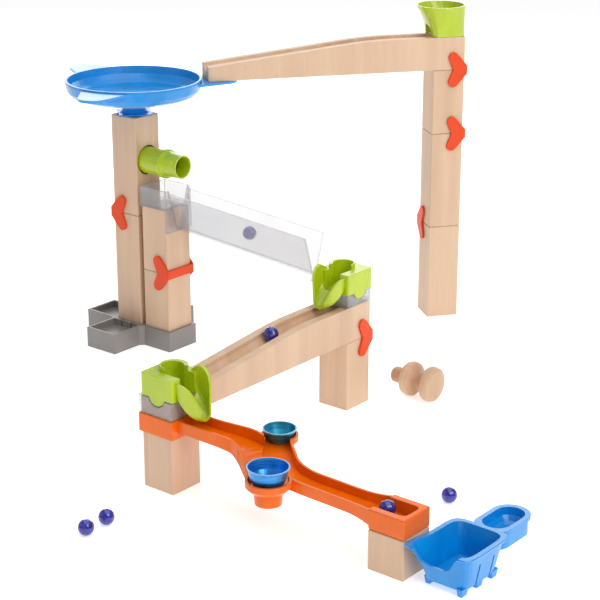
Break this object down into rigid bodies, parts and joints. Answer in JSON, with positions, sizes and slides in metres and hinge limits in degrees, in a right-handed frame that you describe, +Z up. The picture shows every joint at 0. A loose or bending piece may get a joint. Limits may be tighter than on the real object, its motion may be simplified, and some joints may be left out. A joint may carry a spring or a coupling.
{
  "type": "marble run",
  "caption": "Wooden marble run with block towers, grooved ramps, a whirl dish, a clear slide, chutes, a track past two cup bells, snap clips, a scoop, a knob and marbles.",
  "frame": {"origin": "centre of the bounding box at the floor", "axes": "+X along the clear slide and the bell track, +Y away from the front of the run and up the lower ramp, +Z up"},
  "size_m": [0.8182, 0.7736, 0.3973],
  "materials": {
    "beech": "sanded pale beech, thin clear lacquer",
    "base_grey": "warm grey moulded plastic, fine satin",
    "dish_blue": "bright blue moulded plastic, glossy",
    "green": "yellow-green moulded plastic, glossy",
    "track_orange": "orange moulded plastic, glossy",
    "clip_orange": "red-orange moulded plastic, satin",
    "clear": "clear moulded plastic with a light grey tint",
    "bell_blue": "satin metallic blue lacquer on thin steel",
    "bell_teal": "satin metallic teal lacquer on thin steel",
    "steel": "plain steel screw",
    "marble_glass": "deep blue solid glass"
  },
  "bodies": {
    "run": {"cross_base": "base_grey", "tower_a_lower_block": "beech", "tower_a_upper_block": "beech", "tower_b_lower_block": "beech", "tower_b_upper_block": "beech", "tower_r_bottom_block": "beech", "tower_r_middle_block": "beech", "tower_r_top_block": "beech", "ramp_support_block": "beech", "corner_column_block": "beech", "end_cube": "beech", "upper_ramp": "beech", "lower_ramp": "beech", "whirl_dish": "dish_blue", "chute_tray": "clear", "chute_sleeve": "clear", "bell_track": "track_orange", "front_bell_screw": "steel", "back_bell_screw": "steel"},
    "wooden_knob_body": {"wooden_knob": "beech"},
    "catch_scoop_body": {"catch_scoop": "dish_blue"},
    "funnel_cup_body": {"funnel_cup": "green"},
    "drop_tube_body": {"drop_tube": "green"},
    "upper_chute_body": {"upper_chute": "green"},
    "lower_chute_body": {"lower_chute": "green"},
    "clear_slide_body": {"clear_slide": "clear"},
    "front_bell_body": {"front_bell": "bell_blue"},
    "back_bell_body": {"back_bell": "bell_teal"},
    "marble_slide_body": {"marble_slide": "marble_glass"},
    "marble_ramp_body": {"marble_ramp": "marble_glass"},
    "marble_track_body": {"marble_track": "marble_glass"},
    "marble_floor_1_body": {"marble_floor_1": "marble_glass"},
    "marble_floor_2_body": {"marble_floor_2": "marble_glass"},
    "marble_floor_3_body": {"marble_floor_3": "marble_glass"},
    "clip_ramp_end_body": {"clip_ramp_end": "clip_orange"},
    "clip_tower_r_upper_body": {"clip_tower_r_upper": "clip_orange"},
    "clip_tower_r_lower_body": {"clip_tower_r_lower": "clip_orange"},
    "clip_tower_a_body": {"clip_tower_a": "clip_orange"},
    "clip_tower_b_body": {"clip_tower_b": "clip_orange"},
    "clip_lower_ramp_body": {"clip_lower_ramp": "clip_orange"}
  },
  "joints": [
    {"name": "slide_marble_roll", "type": "slide", "parent": "clear_slide_body", "child": "marble_slide_body", "axis": [0.997, 0, -0.0768], "range_m": [-0.085, 0.075]},
    {"name": "ramp_marble_roll", "type": "slide", "parent": "run", "child": "marble_ramp_body", "axis": [0, -0.9936, -0.1131], "range_m": [-0.02, 0.085]},
    {"name": "track_marble_roll", "type": "slide", "parent": "run", "child": "marble_track_body", "axis": [1, 0, 0], "range_m": [-0.012, 0.016]},
    {"name": "floor_marble_1_roll", "type": "slide", "parent": "run", "child": "marble_floor_1_body", "axis": [1, 0, 0], "range_m": [-0.1, 0.1]},
    {"name": "floor_marble_2_roll", "type": "slide", "parent": "run", "child": "marble_floor_2_body", "axis": [1, 0, 0], "range_m": [-0.1, 0.1]},
    {"name": "floor_marble_3_roll", "type": "slide", "parent": "run", "child": "marble_floor_3_body", "axis": [1, 0, 0], "range_m": [-0.1, 0.05]},
    {"name": "front_bell_turn", "type": "hinge", "parent": "run", "child": "front_bell_body", "pos_m": [0.19281, -0.2742, 0.0523], "axis": [0, 0, 1], "continuous": true},
    {"name": "back_bell_turn", "type": "hinge", "parent": "run", "child": "back_bell_body", "pos_m": [0.14481, -0.2002, 0.0603], "axis": [0, 0, 1], "continuous": true},
    {"name": "cup_lift", "type": "slide", "parent": "run", "child": "funnel_cup_body", "axis": [0, 0, 1], "range_m": [0, 0.06]},
    {"name": "tube_pull", "type": "slide", "parent": "run", "child": "drop_tube_body", "axis": [1, 0, 0], "range_m": [0, 0.08]},
    {"name": "slide_lift", "type": "slide", "parent": "run", "child": "clear_slide_body", "axis": [0, 0, 1], "range_m": [0, 0.007]},
    {"name": "upper_chute_lift", "type": "slide", "parent": "run", "child": "upper_chute_body", "axis": [0, 0, 1], "range_m": [0, 0.05]},
    {"name": "lower_chute_lift", "type": "slide", "parent": "run", "child": "lower_chute_body", "axis": [0, 0, 1], "range_m": [0, 0.05]},
    {"name": "scoop_slide", "type": "slide", "parent": "run", "child": "catch_scoop_body", "axis": [1, 0, 0], "range_m": [0, 0.1]},
    {"name": "knob_roll", "type": "slide", "parent": "run", "child": "wooden_knob_body", "axis": [0, 1, 0], "range_m": [-0.03, 0.1]},
    {"name": "ramp_end_clip_pull", "type": "slide", "parent": "run", "child": "clip_ramp_end_body", "axis": [0.5972, 0.8021, 0], "range_m": [0, 0.03]},
    {"name": "tower_r_upper_clip_pull", "type": "slide", "parent": "run", "child": "clip_tower_r_upper_body", "axis": [0.5972, 0.8021, 0], "range_m": [0, 0.03]},
    {"name": "tower_r_lower_clip_pull", "type": "slide", "parent": "run", "child": "clip_tower_r_lower_body", "axis": [-0.8021, 0.5972, 0], "range_m": [0, 0.03]},
    {"name": "tower_a_clip_pull", "type": "slide", "parent": "run", "child": "clip_tower_a_body", "axis": [-1, 0, 0], "range_m": [0, 0.03]},
    {"name": "tower_b_clip_pull", "type": "slide", "parent": "run", "child": "clip_tower_b_body", "axis": [1, 0, 0], "range_m": [0, 0.03]},
    {"name": "lower_ramp_clip_pull", "type": "slide", "parent": "run", "child": "clip_lower_ramp_body", "axis": [0, 1, 0], "range_m": [0, 0.03]}
  ]
}
